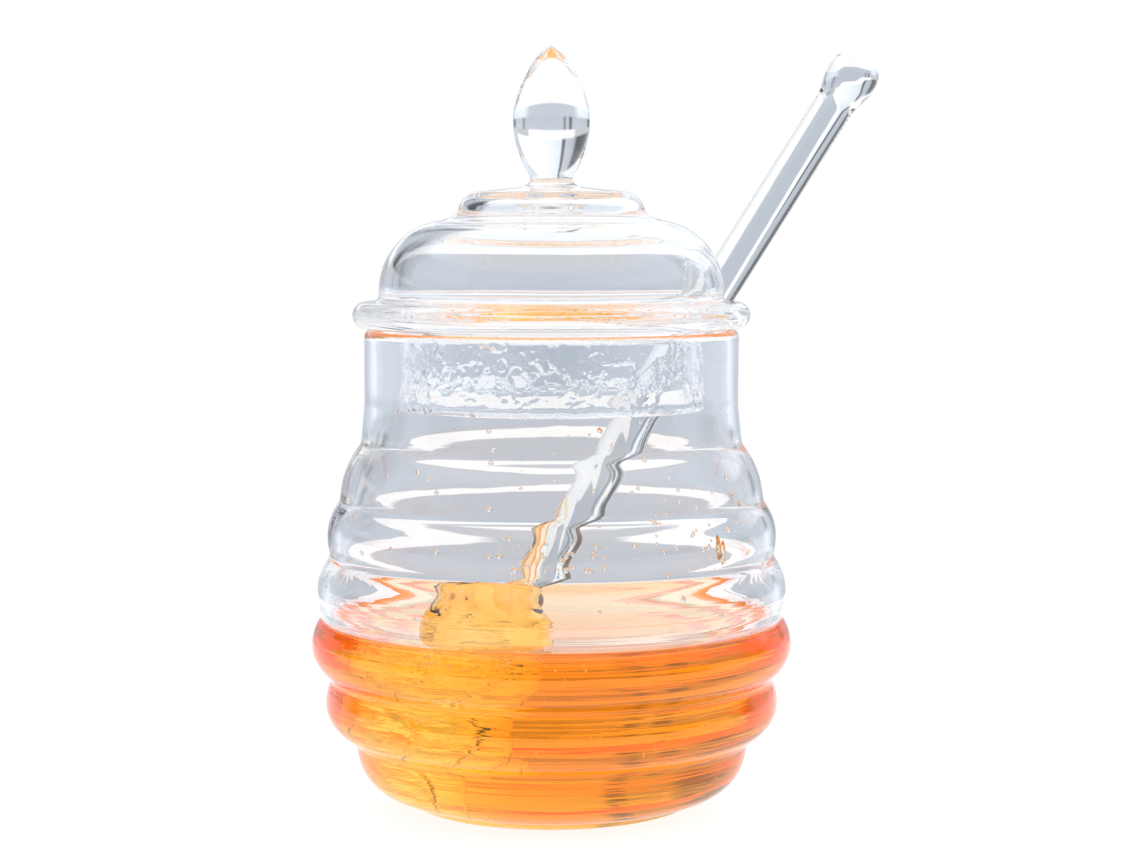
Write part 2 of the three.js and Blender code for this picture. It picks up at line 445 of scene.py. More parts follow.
@dataclass(frozen=True)
class ClearGlass(Finish):
    """Clear blown glass: faint ripples, and smears that dull the polish a little.

    Its relief is the ripple plus shares of two finer ones: drawn threads, which fade out above
    the thread's top, and crackle lines below a height. Its shine is 0 where honey wets it, because
    honey bends light as glass does.
    """

    shine: float = 1.0
    clear: Colour = (0.965, 0.97, 0.975)
    cool: Colour = (0.94, 0.955, 0.97)
    refraction: float = 1.47
    ripple_scale: float = 70.0
    ripple_height: float = 0.00012
    ripple_strength: float = 0.35
    ripple_stretch: Colour = (1.0, 1.0, 1.6)
    thread_scale: float = 300.0
    thread_stretch: Colour = (0.05, 0.05, 4.5)
    thread_top: float = 42.5
    thread_fade: float = 0.4
    thread_share: float = 0.0
    crackle_scale: float = 110.0
    crackle_sharpness: float = 9.0
    crackle_share: float = 0.0
    crackle_below: float = 89.5
    smear_scale: float = 38.0
    smear_stretch: Colour = (1.0, 1.0, 2.2)
    smear_contrast: float = 5.0
    smear_start: float = 3.1
    smear_roughness: float = 0.05

    def shade(self, graph: ShaderGraph) -> None:
        """Fills the graph with the glass's nodes."""
        ripple = graph.noise(self.ripple_scale, 2.0, self.ripple_stretch)
        thread = graph.noise(self.thread_scale, 1.0, self.thread_stretch)
        smear = graph.noise(self.smear_scale, 4.0, self.smear_stretch)
        dull = (smear * self.smear_contrast - self.smear_start).clipped()
        height = graph.place("Z")
        low = ((self.thread_top - height) * self.thread_fade).clipped()
        relief = ripple + thread * low * self.thread_share
        if self.crackle_share:
            line = graph.noise(self.crackle_scale, 3.0).ridges(self.crackle_sharpness)
            collar = (self.crackle_below - height).clipped()
            relief = relief + line * collar * self.crackle_share
        graph.close(graph.principled({
            "Base Color": graph.blend(ripple, self.clear, self.cool),
            "Roughness": dull * self.smear_roughness,
            "Transmission Weight": 1.0,
            "IOR": self.refraction,
            "Specular Tint": grey(self.shine),
            "Normal": graph.bump(relief, self.ripple_strength, self.ripple_height),
        }))


@dataclass(frozen=True)
class AmberHoney(Finish):
    """Clear honey: it darkens from yellow to deep orange with the depth that light crosses.

    Its skin goes from pale to warm towards the right, a painted shade, and with the streaks, and the
    mound has thin fold lines of painted shade. Only its open surface, from the level up, shines.
    Against glass it throws no light back, and there it glows faintly amber: a painted light that
    stands in for light scattered inside the honey.
    """

    pale: Colour = (1.0, 0.995, 0.95)
    warm: Colour = (1.0, 0.91, 0.70)
    absorption: Colour = (0.996, 0.72, 0.0)
    density: float = 64.0
    # Painted light: a faint amber emission that stands in for light scattered inside the honey
    painted_glow: Colour = (0.08, 0.05, 0.0)
    streak_scale: float = 30.0
    streak_stretch: Colour = (0.5, 0.5, 18.0)
    streak_share: float = 0.5
    swirl_scale: float = 170.0
    swirl_share: float = 14.0
    swirl_from: float = 35.6
    # How fast the painted shade warms the skin towards the right, per millimetre
    painted_shade_to_right: float = 0.022
    warm_share_start: float = 0.1
    # The colour of the painted shade in the mound's folds
    painted_fold_shade: Colour = (1.0, 0.74, 0.45)
    fold_sharpness: float = 14.0
    relief: float = 0.0003
    relief_strength: float = 0.3
    open_from: float = 34.1
    open_sharpness: float = 5.0

    def shade(self, graph: ShaderGraph) -> None:
        """Fills the graph with the honey's nodes."""
        streak = graph.noise(self.streak_scale, 3.0, self.streak_stretch)
        swirl = graph.noise(self.swirl_scale, 1.0)
        height = graph.place("Z")
        on_mound = (height - self.swirl_from).clipped()
        open_surface = ((height - self.open_from) * self.open_sharpness).clipped()
        # Painted shade: the warm tint's share grows towards the right and also follows the streaks; the open
        # top stays pale
        depth = graph.place("X") * self.painted_shade_to_right + streak * self.streak_share + self.warm_share_start
        skin = graph.blend(depth.clipped() * (1.0 - open_surface), self.pale, self.warm)
        # Painted shade: darker orange lines along the folds of the mound
        fold = swirl.ridges(self.fold_sharpness) * on_mound
        relief = streak * (1.0 - open_surface) + swirl * on_mound * self.swirl_share
        shared = {
            "Base Color": graph.blend(fold, skin, self.painted_fold_shade),
            "Roughness": 0.0,
            "Transmission Weight": 1.0,
            "IOR": HONEY_INDEX,
            "Emission Strength": 1.0,
            "Normal": graph.bump(relief, self.relief_strength, self.relief),
        }
        # The skin against glass glows with the painted amber emission; the open surface has none
        hidden, bare = (
            graph.principled(shared | {"Specular Tint": grey(shine), "Emission Color": (*painted_glow, 1.0)})
            for shine, painted_glow in ((0.0, self.painted_glow), (1.0, (0.0, 0.0, 0.0)))
        )
        surface = graph.node("ShaderNodeMixShader", {}, {0: open_surface, 1: hidden, 2: bare})
        inputs = {"Color": (*self.absorption, 1.0), "Density": self.density}
        graph.close(surface, Volume=graph.node("ShaderNodeVolumeAbsorption", {}, inputs))


class Bending(Enum):
    """The shader nodes of a skin that bends light: one throws none of it back, the other some."""

    HIDDEN = "ShaderNodeBsdfRefraction"
    BARE = "ShaderNodeBsdfGlass"


@dataclass(frozen=True)
class PlainSkin(Finish):
    """A smooth skin between honey and the glass or air that is sunk in it."""

    bending: Bending
    refraction: float

    def shade(self, graph: ShaderGraph) -> None:
        """Fills the graph with the one node that the skin needs."""
        graph.close(graph.node(self.bending.value, {}, {"Roughness": 0.0, "IOR": self.refraction}))


def dress(piece: bpy.types.Object, finishes: Sequence[Finish], slot: str, node: str | None = None) -> None:
    """Gives a piece its finishes and ties it to the frame.

    Args:
        piece: The object.
        finishes: Its finish, and the one of the faces that honey wets.
        slot: The record's material slot.
        node: The frame's node that it stands for, if any.
    """
    for finish in finishes:
        piece.data.materials.append(finish.material())
    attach(piece, BODY)
    if node is not None:
        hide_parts(node)
    LOG.info("%s: %d faces, slot %s", piece.name, len(piece.data.polygons), slot)


@dataclass(frozen=True)
class Groove:
    """A groove of the jar, and how far the rib above it stands proud."""

    radius: float
    height: float
    bulge: float = 0.0


@dataclass
class Jar:
    """The ribbed jar: an outer wall of bulging ribs, a softer inner wall, a floor and a round rim."""

    wall: float = 2.1
    floor: float = 3.2
    floor_corner: float = 0.8
    foot_flat: float = 24.4
    foot_round: float = 26.8
    foot_round_height: float = 0.6
    neck: float = 35.2
    neck_start: float = 76.0
    rim_start: float = 87.0
    rim_height: float = 90.0
    rim_half_steps: int = 6
    groove_softness: float = 0.5
    inner_softness: float = 1.5
    segments: int = 224
    spacing: float = 0.75
    grooves: tuple[Groove, ...] = (
        Groove(27.4, 1.6, 3.1),
        Groove(37.3, 12.6, 3.2),
        Groove(41.7, 24.5, 2.8),
        Groove(43.5, 36.2, 1.6),
        Groove(41.7, 47.6, 1.4),
        Groove(39.9, 57.9, 1.0),
        Groove(35.9, 68.6),
    )
    outer_wobble: Wobble = Wobble(seed=3, strength=0.07)
    inner_wobble: Wobble = Wobble(seed=8, strength=0.16)
    rim_calm: float = 89.0
    threads: float = 1.2

    def rib(self, lower: Groove, upper: Groove, steps: int = 24) -> Array:
        """One rib: a parabola over the straight line between two grooves.

        At a share t of the line it stands 4 * bulge * t * (1 - t) proud of it.

        Args:
            lower: The groove below.
            upper: The groove above.
            steps: Number of points.

        Returns:
            The rib's points, without the upper groove.
        """
        t = np.linspace(0.0, 1.0, steps, endpoint=False)[:, None]
        start = np.array([lower.radius, lower.height])
        chord = np.array([upper.radius, upper.height]) - start
        outward = np.array([chord[1], -chord[0]]) / np.linalg.norm(chord)
        return start + t * chord + 4.0 * lower.bulge * t * (1.0 - t) * outward

    def outer_outline(self) -> Array:
        """The outer wall from the foot's kink to the foot of the rim, with soft grooves."""
        ribs = [self.rib(low, high) for low, high in zip(self.grooves, self.grooves[1:])]
        top = self.grooves[-1]
        neck = [[top.radius, top.height], [self.neck, self.neck_start], [self.neck, self.rim_start]]
        return softened(np.vstack([*ribs, neck]), self.groove_softness, (End.FREE, End.FREE))

    def inner_outline(self) -> Array:
        """The inner wall from the middle of the floor up to the foot of the rim."""
        wall = offset(self.outer_outline(), -self.wall)
        wall = wall[wall[:, 1] > self.floor + self.floor_corner]
        floor = np.array([[0.0, self.floor], [self.foot_flat, self.floor]])
        return softened(np.vstack([floor, wall]), self.inner_softness, (End.AXIS, End.FREE))

    def surface(self, wet_height: float) -> Surface:
        """The whole jar, with each wall's own wobble.

        Args:
            wet_height: How far up honey wets the inner wall.

        Returns:
            The closed surface. Its faces have finish 1 where honey wets them and 0 elsewhere.
        """
        foot = np.array([[0.0, 0.0], [self.foot_flat, 0.0], [self.foot_round, self.foot_round_height]])
        edge, half = self.wall / 2.0, self.rim_half_steps
        rim = arc((self.neck - edge, self.rim_height - edge), edge, 0.0, 180.0, 2 * half)
        outside = resampled(np.vstack([foot, self.outer_outline(), rim[: half + 1]]), self.spacing)
        inside = resampled(np.vstack([rim[half:], self.inner_outline()[::-1]]), self.spacing)[1:]
        angle = turn_angles(self.segments)
        offsets = [
            calmed(outside[:, 1:]) * self.outer_wobble.at(angle, outside[:, 1:]),
            calmed(self.rim_calm - inside[:, 1:]) * self.inner_wobble.at(angle, inside[:, 1:]),
        ]
        jar = Surface.turned(np.vstack([outside, inside]), self.segments, np.vstack(offsets))
        within = np.arange(len(jar.faces)) >= (len(outside) - 1) * self.segments
        below = jar.middles()[:, 2] < wet_height
        jar.finish = (within & below).astype(np.int64)
        return jar

    def build(self, honey: HoneyFill) -> None:
        """Makes the jar, which honey wets inside up to the top of its climb."""
        jar = self.surface(honey.level + honey.climb).piece("ribbed_jar")
        dry = ClearGlass("blown_jar_glass", thread_share=self.threads)
        wet = ClearGlass("jar_glass_under_honey", shine=0.0, thread_share=self.threads)
        dress(jar, [dry, wet], "jar_glass", "jar")


@dataclass
class Dipper:
    """The solid glass dipper: a ringed head, a plain rod and a melted tip, leaning to the notch."""

    azimuth: float = 18.0
    lean: float = 34.1
    foot_reach: float = -27.7
    foot_height: float = 6.7
    length: float = 163.0
    rod: float = 3.8
    pitch: float = 5.2
    rings: tuple[float, ...] = (8.9, 11.6, 13.0, 13.4, 12.8, 11.4)
    groove: float = 2.3
    ring_steps: int = 40
    foot: float = 5.4
    foot_round: float = 1.5
    shoulder: float = 5.0
    tip_radius: float = 5.0
    tip_length: float = 10.0
    tip_places: tuple[float, ...] = (0.65, 0.4, 0.18, 0.05, 0.0)
    tip_melt: tuple[float, ...] = (0.2, 0.0, 0.3, 1.4, 3.0)
    softness: float = 0.35
    segments: int = 128
    spacing: float = 0.5
    wobble: Wobble = Wobble(seed=5, strength=0.05, rate=0.1)
    clear: Colour = (0.90, 0.915, 0.93)
    cool: Colour = (0.87, 0.89, 0.91)
    sunk_index: float = 1.475

    def outline(self) -> Array:
        """The outline along the dipper's own axis, from the end of the head to the tip.

        Each ring is the envelope less the groove's depth times one minus the sine of half a turn
        over the ring's pitch. The tip falls short of its full radius by the melt at each share of
        its length from the end.
        """
        head = len(self.rings) * self.pitch
        along = np.linspace(0.0, head, self.ring_steps * len(self.rings), endpoint=False)
        centres = (np.arange(len(self.rings)) + 0.5) * self.pitch
        envelope = np.interp(along, centres, self.rings)
        ring = np.abs(np.sin(np.pi * along / self.pitch))
        end = self.foot_round * np.clip(1.0 - 2.0 * along / self.pitch, 0.0, 1.0)
        rings = np.column_stack([envelope - self.groove * (1.0 - ring) - end, along])
        t = np.linspace(0.04, 1.0, 12)
        swell = (self.rings[-1] - self.groove - self.rod) * (1.0 - t) ** 2
        shoulder = np.column_stack([self.rod + swell, head + self.shoulder * t])
        places = self.length - self.tip_length * np.array(self.tip_places)
        tip = np.column_stack([self.tip_radius - np.array(self.tip_melt), places])
        parts = [
            [[0.0, 0.0], [self.foot, 0.0]], rings[3:], shoulder,
            [[self.rod, self.length - self.tip_length]], tip, [[0.0, self.length]],
        ]
        return softened(np.vstack(parts), self.softness)

    def placed(self, surface: Surface) -> Surface:
        """A surface on the dipper's own axis, leant over and put in the jar."""
        foot = np.array([self.foot_reach, 0.0, self.foot_height])
        leant = surface.moved(rotation(self.lean, 2, 0), foot)
        return leant.moved(rotation(self.azimuth, 0, 1), np.zeros(3))

    def upright(self, grow: float = 0.0) -> Surface:
        """The dipper on its own axis, with its skin moved out by so much."""
        outline = resampled(self.outline(), self.spacing)
        if grow:
            outline = offset(outline, grow)
            outline[[0, -1], 0] = 0.0
        waves = self.wobble.at(turn_angles(self.segments), outline[:, 1:])
        return Surface.turned(outline, self.segments, waves)

    def build(self, honey: HoneyFill) -> None:
        """Makes the dipper, which honey wets on the head and some way up the rod."""
        upright = self.upright()
        placed = self.placed(upright)
        placed.finish = honey.wets_dipper(upright.middles(), placed.middles()).astype(np.int64)
        drawn = ClearGlass("drawn_rod_glass", clear=self.clear, cool=self.cool)
        sunk = PlainSkin("dipper_glass_in_honey", Bending.HIDDEN, self.sunk_index)
        dress(placed.piece("honey_dipper"), [drawn, sunk], "dipper_glass", "dipper")


@dataclass
class HoneyFill:
    """The honey: it fills the jar into the wall, climbs its edges a little and coats the head."""

    jar: Jar
    dipper: Dipper
    level: float = 34.3
    into_wall: float = 0.15
    inside_dipper: float = 0.12
    climb: float = 0.9
    climb_reach: float = 1.3
    shore: float = 8.0
    film: float = 0.6
    film_start: float = 16.0
    film_end: float = 60.0
    film_fade: float = 33.0
    film_runs: tuple[float, float] = (4.0, 24.0)
    film_least: float = -0.6
    film_spacing: float = 0.35
    film_segments: int = 128
    mound: float = 13.8
    mound_middle: float = 28.0
    mound_length: float = 12.0
    blending: float = 1.2
    drips: Wobble = Wobble(seed=12, strength=0.12, turns=(1, 2, 3, 4), rate=0.5)
    lumps: Wobble = Wobble(seed=4, strength=0.42, turns=(1, 2, 3, 5, 8, 11), rate=0.6)
    segments: int = 224
    spacing: float = 0.75

    def body(self) -> Surface:
        """The filling, without the dipper's room.

        Its side is the jar's inner wall moved out into the glass. Its top is the level plus the
        climb times the exponential of minus the distance from the wall over the climb's reach.
        """
        wall = offset(self.jar.inner_outline(), self.into_wall)
        wall[0, 0] = 0.0
        below = wall[wall[:, 1] < self.level + self.climb]
        edge = below[-1, 0]
        shore, middle = np.linspace(0.0, self.shore, 30), np.linspace(self.shore + 1.0, edge, 26)
        inwards = np.concatenate([shore, middle])[:, None]
        top = np.hstack([edge - inwards, self.level + self.climb * np.exp(-inwards / self.climb_reach)])
        side = resampled(below, self.spacing)
        outline = np.vstack([side, top])
        fade = np.vstack([np.ones((len(side), 1)), np.clip(1.0 - inwards / self.shore, 0.0, 1.0)])
        waves = self.jar.inner_wobble.at(turn_angles(self.segments), outline[:, 1:])
        return Surface.turned(outline, self.segments, fade * waves)

    def wets_dipper(self, upright: Array, placed: Array) -> NDArray[np.bool_]:
        """Which places on the dipper honey touches.

        Args:
            upright: The places on the dipper's own axis.
            placed: The same places in the jar.

        Returns:
            True for each place that is under the level, the film or the mound.
        """
        along = upright[:, 2]
        own = np.hypot(upright[:, 0], upright[:, 1])
        covered = self.skin(own, along, np.arctan2(upright[:, 1], upright[:, 0])) > own
        near = (along > self.film_start) & (along < self.film_end)
        return (placed[:, 2] < self.level) | (near & covered)

    def skin(self, own: Array, along: Array, angle: Array) -> Array:
        """The radius of the honey that coats the dipper.

        The film is whole on the head and thins up the rod in a straight line, which is long on the
        upper side, at half a turn, and short on the lower one. The mound is half an ellipse. The
        skin is the greater of the two, a and b, rounded off as
        (a + b + sqrt((a - b) squared + blending squared)) / 2.

        Args:
            own: The dipper's own radius at each place.
            along: Distances along the dipper's axis.
            angle: Angles round it.

        Returns:
            The radii in millimetres, below the dipper's own where there is no honey.
        """
        upper = (0.5 - 0.5 * np.cos(angle)) ** 2
        run = self.film_runs[0] + (self.film_runs[1] - self.film_runs[0]) * upper
        thinning = np.clip(1.0 - (along - self.film_fade) / run, self.film_least, 1.0)
        film = own + (self.film * thinning + self.drips.at(angle, along))
        share = (along - self.mound_middle) / self.mound_length
        mound = self.mound * np.sqrt(np.clip(1.0 - share**2, 0.0, 1.0)) + self.lumps.at(angle, along)
        both = (film + mound + np.sqrt((film - mound) ** 2 + self.blending**2)) / 2.0
        return np.where(along < self.mound_middle + self.mound_length, both, film)

    def coating(self) -> Surface:
        """The film on the dipper and the mound that has run down to its shoulder."""
        steps = int((self.film_end - self.film_start) / self.film_spacing)
        along = np.linspace(self.film_start, self.film_end, steps)[:, None]
        angle = turn_angles(self.film_segments)
        outline = self.dipper.outline()
        radius = self.skin(np.interp(along, outline[:, 1], outline[:, 0]), along, angle)
        ends = ((1, 1), (0, 0))
        skin = Surface.polar(np.pad(radius, ends), angle, np.pad(along, ends, mode="edge"))
        return self.dipper.placed(skin)

    def build(self) -> None:
        """Makes the honey, with its film and mound joined on and the dipper's room cut out."""
        honey = self.body().piece("honey_fill")
        film = self.coating().piece("honey_film")
        room = self.dipper.placed(self.dipper.upright(-self.inside_dipper)).piece("dipper_room")
        cut(honey, film, "UNION")
        cut(honey, room, "DIFFERENCE")
        dress(honey, [AmberHoney("amber_honey")], "honey", "honey")


def cut(piece: bpy.types.Object, tool: bpy.types.Object, operation: str) -> None:
    """Joins a closed tool to a piece or cuts it out, and deletes the tool.

    Args:
        piece: The object that is changed.
        tool: The closed object that is used up.
        operation: UNION or DIFFERENCE.
    """
    modifier = piece.modifiers.new("cut", "BOOLEAN")
    modifier.operation = operation
    modifier.solver = "MANIFOLD"
    modifier.object = tool
    evaluated = piece.evaluated_get(bpy.context.evaluated_depsgraph_get())
    mesh = bpy.data.meshes.new_from_object(evaluated)
    piece.modifiers.clear()
    piece.data = mesh
    mesh.name = piece.name
    mesh.materials.clear()
    mesh.shade_smooth()
    mesh.set_sharp_from_angle(angle=np.radians(HONEY_CREASE))
    bpy.data.objects.remove(tool)


@dataclass
class Lid:
    """The lid: a collar, a flange with a round bead, two domes, a knob, and a notch for the rod.

    The notch is a tunnel of constant width with a round top. Its walls join the outer skin to the
    inner one and bulge a little, as a flame-polished edge does.
    """

    flange: float = 90.3
    bead_radius: float = 2.5
    bead_centre: float = 34.9
    wall: float = 2.2
    dome_foot: float = 97.2
    dome_centre: float = 19.0
    dome_arc: float = 13.4
    crown: float = 116.8
    crown_centre: tuple[float, float] = (13.2, 111.6)
    crown_arc: float = 4.4
    skirt: float = 28.7
    skirt_end: float = 75.1
    lip: float = 0.4
    bend: float = 1.2
    throat: float = 2.2
    stem: float = 3.9
    stem_top: float = 118.6
    knob: float = 7.2
    knob_widest: float = 129.2
    knob_tip: float = 143.4
    plug: float = 5.6
    plug_depth: float = 1.3
    notch_azimuth: float = 18.0
    notch_half_width: float = 7.0
    notch_top: float = 104.0
    edge_bulge: float = 0.7
    softness: float = 0.45
    segments: int = 224
    spacing: float = 0.6
    below_arch: float = 38.0
    crease: float = 50.0
    wobble: Wobble = Wobble(seed=21, strength=0.08)
    inner_wobble: Wobble = Wobble(seed=34, strength=0.16)
    crackle: float = 2.6

    def outline(self) -> Array:
        """The closed outline from the plug on the axis, down the inside, and up to the knob's tip."""
        bead_height = self.flange + self.bead_radius
        inner_skirt = self.skirt - self.wall
        end = self.wall / 2.0
        lip = end + self.lip
        lip_start = self.skirt_end + 3.0 * lip
        dome_edge = self.dome_centre + self.dome_arc
        inner_arc = self.dome_arc - self.wall
        plug_foot = self.crown - self.wall
        throat = self.dome_foot - self.throat
        t = np.linspace(0.0, 1.0, 24)
        below = self.stem + (self.knob - self.stem) * np.sin(t * np.pi / 2.0) ** 0.8
        knob_below = np.column_stack([below, self.stem_top + (self.knob_widest - self.stem_top) * t])
        above = self.knob * (1.0 - t**1.65) ** 0.75
        knob_above = np.column_stack([above, self.knob_widest + (self.knob_tip - self.knob_widest) * t])
        return np.vstack([
            [[0.0, plug_foot - self.plug_depth]],
            [[0.7 * self.plug, plug_foot - 0.8 * self.plug_depth], [self.plug, plug_foot - 0.2]],
            arc(self.crown_centre, self.crown_arc - self.wall, 75.0, 0.0, 10),
            arc((self.dome_centre, self.dome_foot), inner_arc, 80.0, 0.0, 30),
            [[self.skirt + self.bend, throat], [self.skirt, throat - self.bend]],
            [[inner_skirt, throat - 4.0], [inner_skirt, lip_start]],
            arc((self.skirt - end, self.skirt_end + lip), lip, -180.0, 0.0, 12),
            [[self.skirt, lip_start], [self.skirt, self.flange - self.bend]],
            [[self.skirt + self.bend, self.flange]],
            arc((self.bead_centre, bead_height), self.bead_radius, -90.0, 120.0, 24),
            [[dome_edge, self.dome_foot - 1.4]],
            arc((self.dome_centre, self.dome_foot), self.dome_arc, 0.0, 84.0, 30),
            arc(self.crown_centre, self.crown_arc, 0.0, 70.0, 12),
            [[self.stem + 1.6, self.crown - 0.1], [self.stem, self.crown + 0.9]],
            knob_below,
            knob_above[1:],
        ])

    def rows(self) -> tuple[Array, Numbers, Numbers]:
        """The outline's points in rows that the notch can be cut along.

        The inner and outer skins get as many points as each other up to the arch's foot, and points
        at the same heights in the arch, so that a wall can join them one to one.

        Returns:
            The rows, and the row numbers of the inner and the outer skin from the collar's end up.
        """
        whole = softened(self.outline(), self.softness)
        low = int(np.argmin(whole[:, 1]))
        arch = self.arch_foot + self.notch_half_width * np.sin(np.linspace(0.0, np.pi / 2.0, 20))
        skins = []
        for skin in (whole[low::-1], whole[low:]):
            first = int(np.argmax(skin[:, 1] > self.arch_foot))
            top = first + int(np.argmax(skin[first:, 1] > self.notch_top))
            lower = evenly(skin[: first + 1], int(self.below_arch / self.spacing))[:-1]
            radii = np.interp(arch, skin[first - 1 : top + 1, 1], skin[first - 1 : top + 1, 0])
            skins.append((lower, np.column_stack([radii, arch]), resampled(skin[top:], self.spacing)))
        inside, outside = (np.vstack(skin) for skin in skins)
        centre = len(inside) - 1
        steps = np.arange(len(lower) + len(arch))
        return np.vstack([inside[::-1], outside[1:]]), centre - steps, centre + steps

    @property
    def arch_foot(self) -> float:
        """The height where the notch's sides end and its round top starts."""
        return self.notch_top - self.notch_half_width

    def surface(self) -> Surface:
        """The lid as one closed surface: the turned skins, opened at the notch, and its two walls.

        Half the notch's width is constant, then the arch's circle, then nothing.
        """
        rows, inner, outer = self.rows()
        radius, height = rows[:, :1], rows[:, 1:]
        rise = np.clip((height - self.arch_foot) / self.notch_half_width, 0.0, 1.0)
        gap = self.notch_half_width * np.sqrt(1.0 - rise**2)
        gap[: inner[-1] + 1] = 0.0
        gap[outer[-1] :] = 0.0
        opening = np.arcsin(np.clip(gap / np.maximum(radius, 1e-6), 0.0, 1.0))
        share = np.linspace(0.0, 1.0, self.segments + 1)[None, :]
        past = opening + share * (2.0 * np.pi - 2.0 * opening)
        calm = calmed(radius) * np.sin(np.pi * share) ** 0.5
        above = calmed(height - self.skirt_end)
        within = np.arange(len(rows))[:, None] < outer[0]
        waves = self.wobble.at(past, height) + within * above * self.inner_wobble.at(past, height)
        skin = Surface.polar(radius + calm * waves, np.radians(self.notch_azimuth) + past, height)
        walls = [self.notch_wall(rows, gap, inner, outer, side) for side in (1.0, -1.0)]
        return Surface.joined([skin, *walls])

    def notch_wall(
        self, rows: Array, gap: Array, inner: Numbers, outer: Numbers, side: float
    ) -> Surface:
        """One wall of the notch, from the inner skin across to the outer one.

        Across the wall the points run straight, and stand off into the notch by the bulge times
        the half circle sqrt(1 - v squared), with v from -1 to 1.

        Args:
            rows: The lid's outline rows.
            gap: Half the notch's width at each row.
            inner: Row numbers of the inner skin from the collar's end up.
            outer: Row numbers of the outer skin.
            side: 1 for the wall on the side of growing angles and -1 for the other.

        Returns:
            The wall as an open grid.
        """
        v = np.cos(np.linspace(np.pi, 0.0, 9))[None, :]
        width, low, high = gap[inner], rows[inner], rows[outer]
        along_inner = np.sqrt(low[:, :1] ** 2 - width**2)
        along_outer = np.sqrt(high[:, :1] ** 2 - gap[outer] ** 2)
        along = along_inner + (along_outer - along_inner) * (v + 1.0) / 2.0
        height = low[:, 1:] + (high[:, 1:] - low[:, 1:]) * (v + 1.0) / 2.0
        rise = np.clip(low[:, 1:] - self.arch_foot, 0.0, self.notch_half_width)
        towards = -np.hstack([width, rise]) / self.notch_half_width
        thickness = np.hypot(along_outer - along_inner, high[:, 1:] - low[:, 1:])
        stand = np.minimum(self.edge_bulge, thickness / 2.0) * np.sqrt(1.0 - v**2)
        across = (width + towards[:, :1] * stand) * side
        height = height + towards[:, 1:] * stand
        x, y = swung(along, across, np.radians(self.notch_azimuth))
        wall = Surface.grid(x, y, height)
        return wall if side > 0.0 else Surface(wall.points, wall.faces[:, ::-1])

    def build(self) -> None:
        """Makes the lid."""
        lid = self.surface().piece("domed_lid")
        lid.data.set_sharp_from_angle(angle=np.radians(self.crease))
        dress(lid, [ClearGlass("blown_lid_glass", crackle_share=self.crackle)], "lid_glass", "lid")


# Outlines of a speck in shares of its radius: how wide it is at a distance from its middle
DROP = ((0.0, -0.12), (1.0, -0.12), (0.9, 0.12), (0.55, 0.27), (0.0, 0.32))
BALL = ((0.0, -1.0), (0.75, -0.66), (1.0, 0.0), (0.75, 0.66), (0.0, 1.0))


@dataclass(frozen=True)
class Patch:
    """A patch of the jar's inner wall that drops or bubbles are scattered over.

    The azimuth is in degrees to the right of the front, and the spreads are half widths.
    """

    count: int
    azimuth: float
    azimuth_spread: float
    height: float
    height_spread: float


@dataclass
class Specks:
    """Small round bodies by the jar's inner wall, all in one piece."""

    jar: Jar
    name: str
    seed: int
    patches: tuple[Patch, ...]
    radii: tuple[float, float]
    profile: tuple[tuple[float, float], ...] = DROP
    stand_off: float = 0.0
    stretch: float = 1.0
    floor_clear: float = 2.0
    segments: int = 8

    def surface(self) -> Surface:
        """Every speck: its profile of shares of its radius, carried round the wall's normal."""
        draw = np.random.default_rng(self.seed)
        wall = self.jar.inner_outline()
        wall = wall[wall[:, 1] > self.jar.floor + self.floor_clear]
        slope = np.gradient(wall[:, 0]) / np.gradient(wall[:, 1])
        angle = turn_angles(self.segments)
        wide, deep = np.array(self.profile)[:, :1], np.array(self.profile)[:, 1:]
        shape = wide * np.cos(angle), wide * np.sin(angle) * self.stretch, deep
        specks = []
        for patch in self.patches:
            for _ in range(patch.count):
                height = patch.height + patch.height_spread * draw.uniform(-1.0, 1.0)
                azimuth = np.radians(patch.azimuth + patch.azimuth_spread * draw.uniform(-1.0, 1.0) - 90.0)
                size = self.radii[0] + (self.radii[1] - self.radii[0]) * draw.random() ** 2
                wave = self.jar.inner_wobble.at(np.array([[azimuth]]), np.array([[height]]))[0, 0]
                radius = np.interp(height, wall[:, 1], wall[:, 0]) + wave - self.stand_off
                lean = np.arctan(np.interp(height, wall[:, 1], slope))
                side, up, inwards = (size * part for part in shape)
                out = radius - inwards * np.cos(lean) + up * np.sin(lean)
                rise = height + inwards * np.sin(lean) + up * np.cos(lean)
                specks.append(Surface.grid(*swung(out, side, azimuth), rise))
        return Surface.joined(specks)

    def build(self, finish: Finish, slot: str) -> None:
        """Makes the specks."""
        dress(self.surface().piece(self.name), [finish], slot)


@dataclass(frozen=True)
class Band:
    """One band of the surround: where it starts, and its light round the pot.

    The lights are pairs of degrees, to the right of straight behind the pot, and brightness.
    """

    start: float
    fade: float
    tint: Colour
    lights: tuple[tuple[float, float], ...]

    def stops(self) -> list[tuple[float, Colour]]:
        """The lights as a ramp's stops, from in front of the pot round by the left."""
        return [
            (degrees / 360.0 + 0.5, tuple(part * light for part in self.tint))
            for degrees, light in self.lights
        ]


